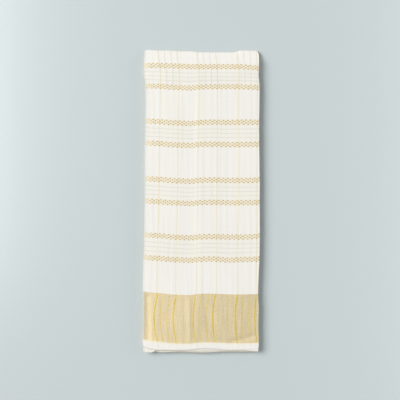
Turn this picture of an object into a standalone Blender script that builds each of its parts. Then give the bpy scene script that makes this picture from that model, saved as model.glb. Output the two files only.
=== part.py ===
"""A dhoti: one length of handloom cotton, 1.2 m x 4.1 m, folded into a flat pile.

The cloth is folded to a sixth of its width, which makes a strip six layers thick, and the strip is
then halved three times along its length, which makes eight strips on top of each other:

    strip 1  on top, with the woven gold border and the cut end of the cloth
    strip 2  the other end of the cloth, which stands out a little at the foot
    strips 3-4, 5-8  folds whose noses show at the foot of the pile
    strip 8  the underside, flat on whatever the pile lies on

Strip 1 runs over the head of the pile and back under it as strip 8. Each solid below is a stretch of
strip that shows, and the hidden strips share one solid whose long sides are layered.

Metres, +Z up. The origin is the middle of the underside's box; +Y points to the head of the pile.
Run with: blender --background --python part.py
"""

import math
from collections import namedtuple

import bmesh
import bpy
from mathutils import Matrix, Vector

# ---- driving sizes ------------------------------------------------------------------------------
CLOTH_WIDTH = 1.2  # selvedge to selvedge
CLOTH_LENGTH = 4.1  # cut end to cut end
FOLDS_ACROSS = 6  # layers in one strip
STRIPS = 8  # strips in the pile
STRIP_PITCH = 0.0017  # height of one strip: six layers of cotton, a little loose
GAP = 0.0003  # between one stretch of strip and the next

HALF_WIDTH = CLOTH_WIDTH / FOLDS_ACROSS / 2 - 0.0020  # the folds take up 2 mm at each side
HALF_LENGTH = CLOTH_LENGTH / STRIPS / 2  # 256 mm
WALL = STRIP_PITCH - GAP  # thickness of a strip's solid
PILE_HEIGHT = STRIPS * STRIP_PITCH - GAP
MIDDLE = PILE_HEIGHT / 2  # height of the plane between strips 4 and 5

# how far the stretches reach along the pile: its ends are a little short of an eighth of the cloth
HEAD_REACH = HALF_LENGTH - 0.0032
HEAD_STRETCH = 1.12  # the head fold is this much longer than a half circle
HEAD_AXIS = HEAD_REACH - MIDDLE * HEAD_STRETCH
TOP_END = -HALF_LENGTH + 0.0045  # the cut end of the top strip
SECOND_END = -HALF_LENGTH + 0.0002  # the other cut end stands out past it
MIDDLE_FOLD_REACH = -HALF_LENGTH + 0.0012
LOWER_FOLD_REACH = -HALF_LENGTH + 0.0004
LOWER_FOLD_STRETCH = 1.1
FOOT_SEAM = -0.2250  # the hidden strips' solid ends here, behind what shows at the foot

# distances along the cloth from its cut end
END_STRIP_LENGTH = 0.0118  # plain strip before the gold border
BORDER_LENGTH = 0.0827
BORDER_FOOT = TOP_END + END_STRIP_LENGTH
BORDER_HEAD = BORDER_FOOT + BORDER_LENGTH

NOSE_INSET = 0.0006  # a strip's rounded edge starts this far in from its side
GROOVE_DEPTH = 0.0021  # how deep the grooves between strips run in from the side

SPIN_STEPS = 8  # facets round a fold
STATION_STEP = 0.0145  # spacing of cross-sections along the pile

HEAD_BLEND = (0.2220, 0.2440)  # the wefts give way to the head fold's edge between these
FOLD_BLEND = 0.05  # a strip's sides start to meet its partner's this far before the fold
SLACK_SHARE = 0.2  # a side's inset is taken up in this share of the strip's half width

# ---- the pile's outline and its lines, from above --------------------------------------------------
# How far the left and right sides of the pile are from the centre line, by distance along it.
SIDE_TABLE = [
    {"y": -0.2560, "left": 0.0984, "right": 0.0964},
    {"y": -0.2440, "left": 0.0998, "right": 0.0980},
    {"y": -0.2130, "left": 0.0992, "right": 0.0976},
    {"y": -0.1820, "left": 0.0992, "right": 0.0982},
    {"y": -0.1620, "left": 0.0990, "right": 0.0972},
    {"y": -0.1415, "left": 0.0989, "right": 0.0973},
    {"y": -0.1110, "left": 0.0982, "right": 0.0986},
    {"y": -0.0800, "left": 0.0973, "right": 0.0997},
    {"y": 0.0010, "left": 0.0958, "right": 0.0997},
    {"y": 0.0270, "left": 0.0958, "right": 0.0998},
    {"y": 0.0950, "left": 0.0956, "right": 0.0989},
    {"y": 0.1240, "left": 0.0949, "right": 0.0988},
    {"y": 0.1540, "left": 0.0944, "right": 0.0991},
    {"y": 0.1920, "left": 0.0944, "right": 0.0994},
    {"y": 0.2050, "left": 0.0956, "right": 0.0990},
    {"y": 0.2155, "left": 0.0973, "right": 0.0982},
    {"y": 0.2360, "left": 0.0974, "right": 0.0986},
    {"y": 0.2470, "left": 0.0966, "right": 0.0978},
    {"y": 0.2570, "left": 0.0956, "right": 0.0948},
]
# How far a weft thread of the top strip strays towards the head, by distance across the pile.
WEFT_TABLE = [
    {"x": -0.0995, "shift": 0.0036},
    {"x": -0.0895, "shift": 0.0020},
    {"x": -0.0700, "shift": 0.0009},
    {"x": -0.0520, "shift": -0.0007},
    {"x": -0.0350, "shift": -0.0014},
    {"x": -0.0180, "shift": -0.0021},
    {"x": -0.0040, "shift": -0.0007},
    {"x": 0.0160, "shift": 0.0000},
    {"x": 0.0500, "shift": -0.0008},
    {"x": 0.0660, "shift": -0.0008},
    {"x": 0.0840, "shift": -0.0006},
    {"x": 0.0995, "shift": 0.0000},
]
# How far the head fold's edge stands out, by distance across the pile: it steps up at the right.
HEAD_TABLE = [
    {"x": -0.0995, "shift": 0.0026},
    {"x": -0.0900, "shift": 0.0038},
    {"x": -0.0700, "shift": 0.0027},
    {"x": -0.0420, "shift": 0.0017},
    {"x": -0.0170, "shift": 0.0012},
    {"x": -0.0080, "shift": 0.0001},
    {"x": 0.0580, "shift": -0.0001},
    {"x": 0.0605, "shift": 0.0002},
    {"x": 0.0635, "shift": 0.0024},
    {"x": 0.0665, "shift": 0.0027},
    {"x": 0.0900, "shift": 0.0026},
    {"x": 0.0995, "shift": 0.0016},
]
# How far each strip's sides lie inside the outline, and how far it follows the top strip's wefts.
STRIP_TABLE = [
    {"strip": 1, "left": 0.0000, "right": 0.0000, "follows": 1.0},
    {"strip": 2, "left": 0.0003, "right": 0.0004, "follows": 0.25},
    {"strip": 3, "left": 0.0012, "right": 0.0005, "follows": 0.25},
    {"strip": 4, "left": 0.0005, "right": 0.0014, "follows": 0.25},
    {"strip": 5, "left": 0.0011, "right": 0.0006, "follows": 0.25},
    {"strip": 6, "left": 0.0003, "right": 0.0012, "follows": 0.25},
    {"strip": 7, "left": 0.0010, "right": 0.0003, "follows": 0.25},
    {"strip": 8, "left": 0.0004, "right": 0.0009, "follows": 0.25},
]
SIDE_WAVE = 0.0004  # each strip's sides wander this far along the pile
SIDE_WAVE_LENGTH = 0.17

# ---- the top strip's folds and creases ------------------------------------------------------------
# Ridges (+) and troughs (-) that run from one point to another: half width, height, and the length
# over which each end fades.
Crease = namedtuple("Crease", "name start end half height fade")
CREASES = [
    Crease("sag left of centre", (-0.018, -0.150), (-0.020, 0.190), 0.016, -0.0005, 0.060),
    Crease("crease by the centre", (-0.003, -0.235), (-0.003, 0.240), 0.005, 0.0004, 0.040),
    Crease("sag at the right", (0.046, -0.130), (0.046, 0.170), 0.020, -0.0003, 0.060),
    Crease("roll behind the head", (-0.080, 0.213), (0.088, 0.213), 0.009, 0.0006, 0.024),
    Crease("dip before the roll", (-0.060, 0.197), (0.080, 0.198), 0.008, -0.0004, 0.030),
    Crease("pucker at the left", (-0.099, 0.217), (-0.080, 0.224), 0.004, 0.0005, 0.008),
    Crease("swell of the border", (-0.060, -0.200), (0.060, -0.200), 0.030, 0.0005, 0.040),
    Crease("crease in the border", (0.028, -0.2255), (0.098, -0.2215), 0.004, -0.0005, 0.020),
]
CROWN = 0.0006  # the top strip is this much higher along its middle
# The pile is thinner at its long sides, where the folds are pressed: over this width, by this share
SIDE_ROLL = {"left": (0.006, 0.10), "right": (0.012, 0.09)}
HEAD_RELIEF_FADE = (0.2300, 0.2440)  # the relief dies out between these, before the head fold

# Where a cross-section has points, as shares of half the width: denser at the sides, at the creases
# and where the head fold steps up.
COLUMNS = [
    -0.975, -0.94, -0.90, -0.85, -0.79, -0.70, -0.56, -0.42, -0.29, -0.17, -0.08, -0.03,
    0.02, 0.14, 0.27, 0.42, 0.54, 0.595, 0.62, 0.645, 0.675, 0.77, 0.88, 0.93, 0.975,
]
FOOT_COLUMNS = [-0.975, -0.94, -0.90, -0.85, -0.79, -0.30, 0.30, 0.88, 0.93, 0.975]

COTTON = {"colour": (0.89, 0.875, 0.83, 1), "roughness": 0.9, "metallic": 0.0}
ZARI = {"colour": (0.72, 0.60, 0.37, 1), "roughness": 0.55, "metallic": 0.25}


# ---- small helpers --------------------------------------------------------------------------------
def smoothstep(low, high, value):
    share = min(1.0, max(0.0, (value - low) / (high - low)))
    return share * share * (3 - 2 * share)


def curve_through(rows, key, column, at):
    """A smooth curve through a table's column: cubic between rows, flat beyond the ends."""
    if at <= rows[0][key]:
        return rows[0][column]
    if at >= rows[-1][key]:
        return rows[-1][column]
    right = next(i for i, row in enumerate(rows) if row[key] > at)
    left = right - 1

    def slope(i):
        before = rows[max(i - 1, 0)]
        after = rows[min(i + 1, len(rows) - 1)]
        return (after[column] - before[column]) / (after[key] - before[key])

    span = rows[right][key] - rows[left][key]
    t = (at - rows[left][key]) / span
    return (
        (2 * t**3 - 3 * t**2 + 1) * rows[left][column]
        + (t**3 - 2 * t**2 + t) * span * slope(left)
        + (3 * t**2 - 2 * t**3) * rows[right][column]
        + (t**3 - t**2) * span * slope(right)
    )


def stations(start, end):
    """Evenly spaced distances along the pile, from start to end."""
    count = max(1, math.ceil(abs(end - start) / STATION_STEP))
    return [start + (end - start) * i / count for i in range(count + 1)]


def strip_bottom(strip):
    """Height of the underside of a strip, 1 being the top one."""
    return (STRIPS - strip) * STRIP_PITCH


# ---- from the straight pile to the real one ------------------------------------------------------
def crease_height(crease, x, y):
    run = Vector(crease.end) - Vector(crease.start)
    place = Vector((x, y)) - Vector(crease.start)
    along = place.dot(run.normalized())
    across = place.cross(run.normalized())
    ends = smoothstep(0, crease.fade, along) * smoothstep(0, crease.fade, run.length - along)
    return crease.height * ends * math.exp(-((across / crease.half) ** 2))


def relief(x, y):
    """Height of the top strip's face above a flat one."""
    share = x / HALF_WIDTH
    height = CROWN * (1 - share * share)
    height += sum(crease_height(crease, x, y) for crease in CREASES)
    return height * (1 - smoothstep(*HEAD_RELIEF_FADE, y))


def pressed(x):
    """Share of its height that the pile keeps, by distance across it."""
    width, share = SIDE_ROLL["left" if x < 0 else "right"]
    return 1 - share * max(0.0, (abs(x) - HALF_WIDTH + width) / width) ** 2


def strip_inset(strip, partner, closeness, side):
    """How far a strip's side lies inside the outline; near a fold it meets its partner's."""
    own = STRIP_TABLE[strip - 1][side]
    other = STRIP_TABLE[partner - 1][side]
    return own + (other - own) * 0.5 * closeness


def settle(x, y, z, fold):
    """Where a point of the straight pile lies in the real one.

    fold says which fold the solid belongs to: its axis, the sum of the numbers of two strips that it
    joins, and whether the top strip's face is in it.
    """
    towards = 1 if fold["axis"] > 0 else -1
    past = max(0.0, (y - fold["axis"]) * towards)
    radius = math.hypot(past, z - fold["height"])
    level = fold["height"] + math.copysign(radius, z - fold["height"])
    strip = min(STRIPS, max(1, STRIPS - math.floor((level + GAP / 2) / STRIP_PITCH)))
    partner = min(STRIPS, max(1, fold["pair_sum"] - strip))
    closeness = smoothstep(fold["axis"] - FOLD_BLEND * towards, fold["axis"], y)

    # in plan: the sides, then the wefts, then the head fold's edge
    side = "left" if x < 0 else "right"
    wave = SIDE_WAVE * math.sin(2 * math.pi * y / SIDE_WAVE_LENGTH + 2.1 * strip) * (strip > 1)
    inset = strip_inset(strip, partner, closeness, side) + wave * (1 - closeness)
    y_out = fold["axis"] + past * towards * fold["stretch"] if past else y
    x_out = x * curve_through(SIDE_TABLE, "y", side, y_out) / HALF_WIDTH
    head = smoothstep(*HEAD_BLEND, y)
    follows = STRIP_TABLE[strip - 1]["follows"]
    if fold["flat_end"]:
        follows = STRIP_TABLE[fold["flat_end"] - 1]["follows"]
    y_out += follows * (1 - head) * curve_through(WEFT_TABLE, "x", "shift", x_out)
    y_out += head * curve_through(HEAD_TABLE, "x", "shift", x_out)
    x_out -= math.copysign(inset * max(0.0, abs(x) / HALF_WIDTH - 1 + SLACK_SHARE) / SLACK_SHARE, x)

    # in height: only the top strip's outer face has folds
    if fold["has_face"] and not past:
        z += relief(x_out, y_out) * smoothstep(0, WALL, z - strip_bottom(1))
    return Vector((x_out, y_out, z * pressed(x_out)))


HEAD_FOLD = {
    "axis": HEAD_AXIS,
    "height": MIDDLE,
    "stretch": HEAD_STRETCH,
    "pair_sum": STRIPS + 1,
    "has_face": True,
    "flat_end": 0,
}
HIDDEN_FOLD = {**HEAD_FOLD, "has_face": False, "flat_end": 2}


# ---- cross-sections -------------------------------------------------------------------------------
def strip_section(bottom, columns, thickness=WALL):
    """One strip cut across: (x, z) points round it, with a rounded edge at each side."""
    top = bottom + thickness
    edge = HALF_WIDTH - NOSE_INSET
    across = [edge * column / columns[-1] for column in columns]
    nose = [
        (edge + NOSE_INSET * math.cos(angle), bottom + thickness / 2 * (1 + math.sin(angle)))
        for angle in (math.radians(50), 0.0, math.radians(-50))
    ]
    right = [(x, z) for x, z in nose]
    left = [(-x, z) for x, z in reversed(nose)]
    return [(x, top) for x in across] + right + [(x, bottom) for x in reversed(across)] + left


def pile_side(bottom, strips):
    """The layered side of several strips, from the top down, as (x, z) points."""
    points = []
    for strip in reversed(range(strips)):
        base = bottom + strip * STRIP_PITCH
        for share, inset in ((0.90, 0.45 * NOSE_INSET), (0.5, 0.0), (0.10, 0.45 * NOSE_INSET)):
            points.append((HALF_WIDTH - inset, base + share * STRIP_PITCH))
        if strip:
            points.append((HALF_WIDTH - GROOVE_DEPTH, base))
    return points


def pile_section(bottom, strips, columns):
    """Several strips cut across as one solid: flat above and below, layered at the sides."""
    height = strips * STRIP_PITCH - GAP
    scale = height / (strips * STRIP_PITCH)
    side = [(x, bottom + (z - bottom) * scale) for x, z in pile_side(bottom, strips)]
    inner = [HALF_WIDTH * column for column in columns]
    top = [(x, bottom + height) for x in inner]
    base = [(x, bottom) for x in reversed(inner)]
    return top + side + base + [(-x, z) for x, z in reversed(side)]


# ---- solids ---------------------------------------------------------------------------------------
def material_of(name, finish):
    material = bpy.data.materials.new(name)
    material.use_nodes = True
    material.diffuse_color = finish["colour"]
    shader = material.node_tree.nodes["Principled BSDF"]
    shader.inputs["Base Color"].default_value = finish["colour"]
    shader.inputs["Roughness"].default_value = finish["roughness"]
    shader.inputs["Metallic"].default_value = finish["metallic"]
    return material


def section_loop(bm, section, y):
    """The cross-section as a closed loop of edges across the pile at y."""
    points = [bm.verts.new((x, y, z)) for x, z in section]
    return [bm.edges.new((a, b)) for a, b in zip(points, points[1:] + points[:1])]


def extrude_along(bm, edges, places):
    """Draws the loop along the pile through the given places; returns the edges at the last one."""
    here = places[0]
    for place in places[1:]:
        made = bmesh.ops.extrude_edge_only(bm, edges=edges)["geom"]
        points = {item for item in made if isinstance(item, bmesh.types.BMVert)}
        bmesh.ops.translate(bm, verts=list(points), vec=(0, place - here, 0))
        drawn = [item for item in made if isinstance(item, bmesh.types.BMEdge)]
        edges = [edge for edge in drawn if points.issuperset(edge.verts)]
        here = place
    return edges


def spin_fold(bm, edges, fold, angle):
    """Turns part of a loop half way round the fold's axis."""
    points = {point for edge in edges for point in edge.verts}
    bmesh.ops.spin(
        bm,
        geom=list(edges) + list(points),
        cent=(0, fold["axis"], fold["height"]),
        axis=(1, 0, 0),
        angle=angle,
        steps=SPIN_STEPS,
        use_duplicate=False,
    )


def finish_solid(bm, name, finish, fold):
    """Closes the mesh, lays its points where the real pile has them, and makes the object."""
    bmesh.ops.remove_doubles(bm, verts=bm.verts, dist=1e-6)
    bmesh.ops.dissolve_degenerate(bm, dist=1e-7, edges=bm.edges)
    open_edges = [edge for edge in bm.edges if edge.is_boundary]
    bmesh.ops.holes_fill(bm, edges=open_edges, sides=0)
    for point in bm.verts:
        point.co = settle(*point.co, fold)
    bmesh.ops.recalc_face_normals(bm, faces=bm.faces)
    bmesh.ops.triangulate(bm, faces=bm.faces)

    mesh = bpy.data.meshes.new(name)
    bm.to_mesh(mesh)
    bm.free()
    mesh.materials.append(material_of(name, finish))
    mesh.shade_smooth()
    mesh.set_sharp_from_angle(angle=math.radians(50))
    solid = bpy.data.objects.new(name, mesh)
    bpy.context.scene.collection.objects.link(solid)
    return solid


def straight_stretch(name, section, start, end, finish, fold):
    """A stretch of strip with no fold in it."""
    bm = bmesh.new()
    extrude_along(bm, section_loop(bm, section, start), stations(start, end))
    return finish_solid(bm, name, finish, fold)


def head_stretch(name, finish):
    """The strip that turns over the head of the pile, from the top strip to the underside."""
    bm = bmesh.new()
    section = strip_section(strip_bottom(1), COLUMNS)
    spin_fold(bm, section_loop(bm, section, HEAD_AXIS), HEAD_FOLD, -math.pi)
    return finish_solid(bm, name, finish, HEAD_FOLD)


def folded_pile(name, bottom, strips, columns, start, fold, finish):
    """Several strips as one solid, which ends in a rounded fold at the fold's axis."""
    bm = bmesh.new()
    section = pile_section(bottom, strips, columns)
    towards = 1 if fold["axis"] > start else -1
    last = extrude_along(bm, section_loop(bm, section, start), stations(start, fold["axis"]))
    middle = bottom + (strips * STRIP_PITCH - GAP) / 2
    upper = [edge for edge in last if sum(point.co.z for point in edge.verts) / 2 > middle]
    spin_fold(bm, upper, fold, -math.pi * towards)
    return finish_solid(bm, name, finish, fold)


def foot_fold(reach, bottom, strips, flat_end, stretch=1.0):
    """The fold at the foot of several strips, whose nose reaches that far."""
    height = strips * STRIP_PITCH - GAP
    uppermost = STRIPS - round(bottom / STRIP_PITCH) - strips + 1
    return {
        "axis": reach + height / 2 * stretch,
        "height": bottom + height / 2,
        "pair_sum": 2 * uppermost + strips - 1,
        "stretch": stretch,
        "has_face": False,
        "flat_end": flat_end,
    }


def centre(solids):
    """Moves the solids so that the origin is the middle of their box in plan."""
    places = [point.co for solid in solids for point in solid.data.vertices]
    middle_x = (min(place.x for place in places) + max(place.x for place in places)) / 2
    middle_y = (min(place.y for place in places) + max(place.y for place in places)) / 2
    for solid in solids:
        solid.data.transform(Matrix.Translation((-middle_x, -middle_y, 0)))


def top_strip():
    """The strip on top, from the cut end of the cloth to the head."""
    section = strip_section(strip_bottom(1), COLUMNS)
    fold = {**HEAD_FOLD, "flat_end": 1}
    return [
        straight_stretch("end_strip", section, TOP_END, BORDER_FOOT - GAP, COTTON, fold),
        straight_stretch("zari_border", section, BORDER_FOOT, BORDER_HEAD - GAP, ZARI, fold),
        straight_stretch("top_field", section, BORDER_HEAD, HEAD_AXIS - GAP, COTTON, fold),
    ]


def underside_strip():
    section = strip_section(strip_bottom(STRIPS), COLUMNS)
    fold = {**HEAD_FOLD, "has_face": False, "flat_end": STRIPS}
    return straight_stretch("underside_field", section, FOOT_SEAM + GAP, HEAD_AXIS - GAP, COTTON, fold)


def hidden_strips():
    hidden = STRIPS - 2
    bottom = strip_bottom(STRIPS - 1)
    return folded_pile("hidden_strips", bottom, hidden, COLUMNS, FOOT_SEAM + GAP, HIDDEN_FOLD, COTTON)


def foot_pieces():
    """What shows at the foot under the top strip: the other end of the cloth, and two folds."""
    end_section = strip_section(strip_bottom(2), FOOT_COLUMNS)
    middle_fold = foot_fold(MIDDLE_FOLD_REACH, strip_bottom(4), 2, 2)
    lower_fold = foot_fold(LOWER_FOLD_REACH, strip_bottom(8), 4, 2, LOWER_FOLD_STRETCH)
    return [
        straight_stretch("second_end", end_section, SECOND_END, FOOT_SEAM, COTTON, HIDDEN_FOLD),
        folded_pile("middle_fold", strip_bottom(4), 2, FOOT_COLUMNS, FOOT_SEAM, middle_fold, COTTON),
        folded_pile("lower_fold", strip_bottom(8), 4, FOOT_COLUMNS, FOOT_SEAM, lower_fold, COTTON),
    ]


def main():
    for old in list(bpy.data.objects):
        bpy.data.objects.remove(old)
    solids = top_strip()
    solids.append(head_stretch("head_fold", COTTON))
    solids.append(underside_strip())
    solids.append(hidden_strips())
    solids.extend(foot_pieces())
    centre(solids)


main()
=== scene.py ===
import math

import bpy
import numpy as np
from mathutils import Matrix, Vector

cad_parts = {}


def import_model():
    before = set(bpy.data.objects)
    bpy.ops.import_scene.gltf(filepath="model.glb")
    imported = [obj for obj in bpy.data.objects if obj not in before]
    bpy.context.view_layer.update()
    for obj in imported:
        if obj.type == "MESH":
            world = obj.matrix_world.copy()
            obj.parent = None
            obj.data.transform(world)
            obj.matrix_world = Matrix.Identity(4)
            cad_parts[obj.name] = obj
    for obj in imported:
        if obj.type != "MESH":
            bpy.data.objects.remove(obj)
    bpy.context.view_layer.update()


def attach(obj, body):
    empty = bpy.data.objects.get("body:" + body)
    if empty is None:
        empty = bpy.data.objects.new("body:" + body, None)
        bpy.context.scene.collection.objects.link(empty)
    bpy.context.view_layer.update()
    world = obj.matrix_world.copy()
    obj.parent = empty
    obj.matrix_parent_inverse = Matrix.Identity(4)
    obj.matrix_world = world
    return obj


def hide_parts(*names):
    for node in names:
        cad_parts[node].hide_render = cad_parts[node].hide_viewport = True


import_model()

# A dhoti of 1.2 x 4.1 m, folded to six layers across and eight strips along. Strip 1 is on top.
# Metres; x across the pile, y towards its head, z up. Distances called "along" run on the cloth
# itself, from the cut end of strip 1 to the head, round it, and on from strip to strip.

pile = {
    "strips": 8,
    "pitch": 0.0017,
    "halfWidth": 0.0980,
    "thick": 0.00160,  # one strip, six layers of cotton
    "layer": 0.00021,  # one layer
    "lowest": 0.0007,  # middle height of the lowest strip
    "groove": 0.0060,  # depth of the groove between the two folds on the right
    "turnPoints": (7, 8, 10),  # round a fold of two, four and six layers
    "selvedges": (0.004, 0.003),  # how far they stop short of the left fold, inside the strip
    "topEnd": -0.2514,  # cut end on top
    "borderFoot": -0.2400,
    "borderHead": -0.1572,
    "footSeam": -0.22485,
    "headReach": 0.2543,
    "headStretch": 1.12,
}
flaps = [  # right of here the head fold stands out further
    {"x": (0.0591, 0.0603), "reach": 0.0013},
    {"x": (0.0630, 0.0650), "reach": 0.0010},
]
pile["middle"] = (pile["strips"] - 1) * pile["pitch"] / 2 + pile["lowest"]
pile["headAxis"] = pile["headReach"] - pile["middle"] * pile["headStretch"]


def table(columns, rows):  # rows of numbers under named columns
    return [dict(zip(columns.split(), row)) for row in rows]


# the pile's sides, from above
sides = table("y left right", [
    (-0.2560, 0.0984, 0.0964),
    (-0.2440, 0.0998, 0.0980),
    (-0.2130, 0.0992, 0.0976),
    (-0.1820, 0.0992, 0.0982),
    (-0.1620, 0.0990, 0.0972),
    (-0.1415, 0.0989, 0.0973),
    (-0.1110, 0.0982, 0.0986),
    (-0.0800, 0.0973, 0.0997),
    (0.0010, 0.0958, 0.0997),
    (0.0270, 0.0958, 0.0998),
    (0.0950, 0.0956, 0.0989),
    (0.1240, 0.0949, 0.0988),
    (0.1540, 0.0944, 0.0991),
    (0.1920, 0.0944, 0.0994),
    (0.2050, 0.0956, 0.0990),
    (0.2155, 0.0973, 0.0982),
    (0.2360, 0.0972, 0.0990),
    (0.2470, 0.0968, 0.0989),
    (0.2500, 0.0968, 0.0983),
    (0.2540, 0.0966, 0.0960),
    (0.2575, 0.0963, 0.0943),
])
# across the pile: how the wefts stray towards the head; how far the head fold and the folds at the foot
# stand out; how the warps stray to the right, and their share of the stray below
wefts = table("x weft head foot warp share", [
    (-0.0995, 0.0036, 0.0026, -0.0022, 0.0, 1.30),
    (-0.0900, 0.0020, 0.0038, -0.0018, 0.0, 1.25),
    (-0.0700, 0.0009, 0.0029, 0.0012, 0.0, 1.20),
    (-0.0520, -0.0007, 0.0026, 0.0011, 0.0, 1.12),
    (-0.0350, -0.0014, 0.0018, 0.0008, -0.0001, 1.08),
    (-0.0170, -0.0021, 0.0016, 0.0008, -0.0009, 1.03),
    (-0.0040, -0.0007, 0.0003, 0.0014, -0.0018, 1.00),
    (0.0160, 0.0000, 0.0000, 0.0016, -0.0008, 0.90),
    (0.0500, -0.0008, 0.0000, 0.0002, 0.0004, 0.80),
    (0.0580, -0.0008, 0.0000, 0.0001, 0.0005, 0.77),
    (0.0665, -0.0008, 0.0005, 0.0001, 0.0005, 0.72),
    (0.0840, -0.0006, 0.0008, 0.0000, 0.0003, 0.55),
    (0.0995, 0.0000, 0.0003, 0.0001, 0.0001, 0.42),
])
# along the top strip: how the warps stray to the right, and cloth taken up by creases (or stretched)
warps = table("y stray taken", [
    (-0.2520, -0.0013, 0.0001),
    (-0.2440, -0.0018, 0.0001),
    (-0.2340, -0.0042, 0.0001),
    (-0.2210, -0.0064, 0.0001),
    (-0.2090, -0.0074, 0.0001),
    (-0.1950, -0.0078, 0.0001),
    (-0.1815, -0.0067, 0.0001),
    (-0.1680, -0.0045, 0.0001),
    (-0.1570, -0.0027, 0.0001),
    (-0.1360, -0.0022, 0.0001),
    (-0.1140, -0.0022, 0.0004),
    (-0.0980, -0.0020, 0.0005),
    (-0.0800, -0.0018, 0.0001),
    (-0.0600, -0.0015, -0.0003),
    (-0.0420, -0.0013, 0.0002),
    (-0.0220, -0.0009, 0.0009),
    (0.0010, -0.0007, 0.0012),
    (0.0170, -0.0005, 0.0010),
    (0.0600, 0.0000, 0.0003),
    (0.0970, 0.0004, -0.0004),
    (0.1340, 0.0008, -0.0004),
    (0.1570, 0.0010, -0.0005),
    (0.1770, 0.0012, -0.0007),
    (0.1940, 0.0015, -0.0009),
    (0.2110, 0.0018, 0.0006),
    (0.2290, 0.0012, 0.0021),
    (0.2420, -0.0010, 0.0022),
    (0.2560, -0.0020, 0.0022),
])
# across the top strip: further strays of the warps to the right near the head, in the field's lower half
# and in the border, and of the border's wefts towards the head
leans = table("x head foot border weft", [
    (-0.0995, 0.0002, -0.0008, 0.0004, 0.0018),
    (-0.0895, 0.0002, -0.0012, 0.0006, 0.0012),
    (-0.0700, 0.0002, -0.0014, 0.0008, 0.0002),
    (-0.0400, 0.0007, -0.0008, 0.0006, -0.0005),
    (-0.0050, 0.0005, -0.0003, -0.0008, 0.0005),
    (0.0260, -0.0008, 0.0008, -0.0003, 0.0000),
    (0.0630, -0.0014, -0.0003, -0.0002, -0.0007),
    (0.0995, 0.0003, 0.0000, -0.0002, -0.0004),
])
# places where the top strip's wefts are tugged towards the head
tugs = table("at reach up", [
    ((-0.062, 0.231), (0.045, 0.018), 0.0016),
    ((0.010, 0.231), (0.020, 0.014), -0.0005),
    ((0.100, 0.231), (0.022, 0.018), -0.0026),
    ((0.055, 0.194), (0.022, 0.016), 0.0010),
    ((0.104, 0.194), (0.012, 0.016), -0.0022),
    ((-0.099, 0.194), (0.012, 0.016), -0.0011),
    ((0.070, 0.135), (0.022, 0.022), 0.0010),
    ((-0.078, -0.061), (0.022, 0.016), 0.0008),
    ((0.098, -0.061), (0.012, 0.016), 0.0009),
    ((0.047, -0.098), (0.015, 0.014), -0.0012),
])
# and where its warps have slipped to the right
slips = table("at reach right", [((0.098, -0.236), (0.012, 0.008), 0.0018)])
# how far each strip's sides lie inside the outline
insets = table("strip left right", [
    (1, 0.0000, 0.0000),
    (2, 0.0003, 0.0004),
    (3, 0.0012, 0.0005),
    (4, 0.0005, 0.0014),
    (5, 0.0011, 0.0006),
    (6, 0.0003, 0.0012),
    (7, 0.0010, 0.0003),
    (8, 0.0004, 0.0009),
])
# ridges (+) and troughs (-) of the top strip: from, to, half width, height, length of the fading ends
creases = table("from to half height fade", [
    ((-0.018, -0.150), (-0.020, 0.190), 0.016, -0.0005, 0.060),
    ((-0.003, -0.235), (-0.003, 0.240), 0.005, 0.0004, 0.040),
    ((0.046, -0.130), (0.046, 0.170), 0.020, -0.0003, 0.060),
    ((-0.080, 0.213), (0.088, 0.213), 0.009, 0.0006, 0.024),
    ((-0.060, 0.197), (0.080, 0.198), 0.008, -0.0004, 0.030),
    ((-0.098, 0.2165), (-0.085, 0.2240), 0.0026, -0.0004, 0.005),
    ((0.101, 0.2150), (0.088, 0.2190), 0.0026, -0.0003, 0.005),
    ((-0.060, -0.200), (0.060, -0.200), 0.030, 0.0005, 0.040),
    ((0.040, -0.2420), (0.101, -0.2260), 0.0048, -0.0007, 0.018),
    ((-0.0920, -0.156), (-0.0925, -0.244), 0.0055, -0.0006, 0.008),
    ((-0.0192, -0.159), (-0.0192, -0.242), 0.0030, 0.0005, 0.012),
])
lie = {
    "crown": 0.0006,
    "follow": 0.25,  # share of the top wefts' stray in the strips below
    "calmHead": 0.6,  # how much of the wefts' stray is gone near the head
    "foldBlend": 0.05,
    "slackShare": 0.2,  # share of a half width over which a side drifts
    "rollLeft": (0.004, 0.03),  # width, and share of the height lost at the side
    "rollRight": (0.006, 0.02),
    "headPress": 0.45,  # share of the height lost at the head
    "wave": 0.0004,  # the strips' sides wave in and out
    "waveLength": 0.17,
    "wavePhase": 2.1,  # from strip to strip
    "footWave": 0.0004,  # and so do the folds at the foot
    "footWaveTurn": 88,  # in radians a metre
    "footWavePhase": 1.9,
    "slipped": 0.008,  # cloth that has slipped through the head fold
}
# along the pile: each sets in at the first y and is in full at the second
setsIn = {
    "reliefEnds": (0.2300, 0.2440),
    "headFold": (0.2330, 0.2460),
    "headPress": (0.2345, 0.2515),
    "calmHead": (0.200, 0.226),
    "border": (-0.145, -0.165),
    "footFolds": (-0.234, -0.253),
    "headLean": (0.06, 0.18),
    "footLean": (-0.01, -0.08),
    "footLeanEnds": (-0.165, -0.15),
    "borderLean": (-0.244, -0.232),
}
drift = {  # of the strips' edges along the cloth
    "left": 0.0002,
    "rightTwo": 0.0004,
    "rightFour": 0.0003,
    "waves": ((0.6, 0.143, 1.7), (0.3, 0.061, 2.9), (0.15, 0.027, 4.1)),  # share, length and phase
    "blend": 0.3,  # between the two folds on the right, in thicknesses
}


def smoothStep(low, high, value):
    share = np.clip((value - low) / (high - low), 0, 1)
    return share * share * (3 - 2 * share)


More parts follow.
